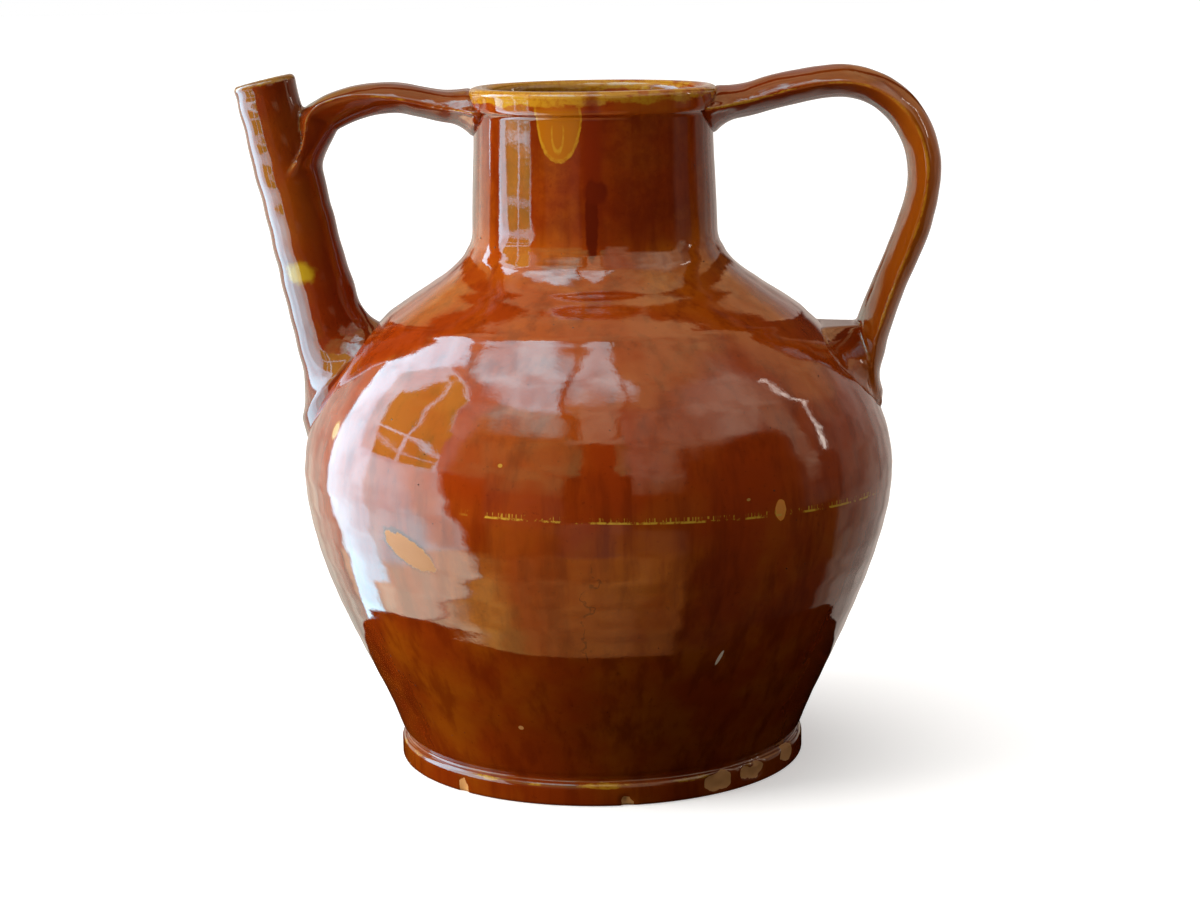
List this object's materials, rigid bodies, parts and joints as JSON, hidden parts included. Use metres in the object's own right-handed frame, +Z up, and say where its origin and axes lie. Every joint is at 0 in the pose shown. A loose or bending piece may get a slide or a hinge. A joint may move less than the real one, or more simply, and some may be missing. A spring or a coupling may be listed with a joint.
{
  "type": "water jug",
  "caption": "Wide-bellied earthenware water jug with a collar neck, a tube spout tied to the rim by a strap, and a pulled strap handle.",
  "frame": {"origin": "middle of the flat underside, on the axis the body was thrown on", "axes": "+Z up the throwing axis, +X towards the handle, -X towards the spout, -Y towards the viewer of the picture"},
  "size_m": [0.2895, 0.2458, 0.2875],
  "materials": {
    "amber_glaze": "glossy transparent amber lead glaze over orange-red clay",
    "dark_amber_glaze": "glossy transparent brown lead glaze, pooled dark on the lower wall",
    "honey_glaze": "glossy thin honey-yellow lead glaze",
    "worn_foot_glaze": "worn amber lead glaze with buff clay showing in chips"
  },
  "bodies": {
    "root": {"lower_belly": "dark_amber_glaze", "foot_ring": "worn_foot_glaze", "shoulder": "amber_glaze", "neck": "amber_glaze", "rim_band": "honey_glaze", "spout": "amber_glaze", "spout_collar": "amber_glaze", "spout_brace": "amber_glaze", "brace_rim_lute": "honey_glaze", "brace_spout_lute": "amber_glaze", "handle": "amber_glaze", "handle_rim_lute": "honey_glaze", "handle_foot_lute": "amber_glaze"}
  },
  "joints": []
}
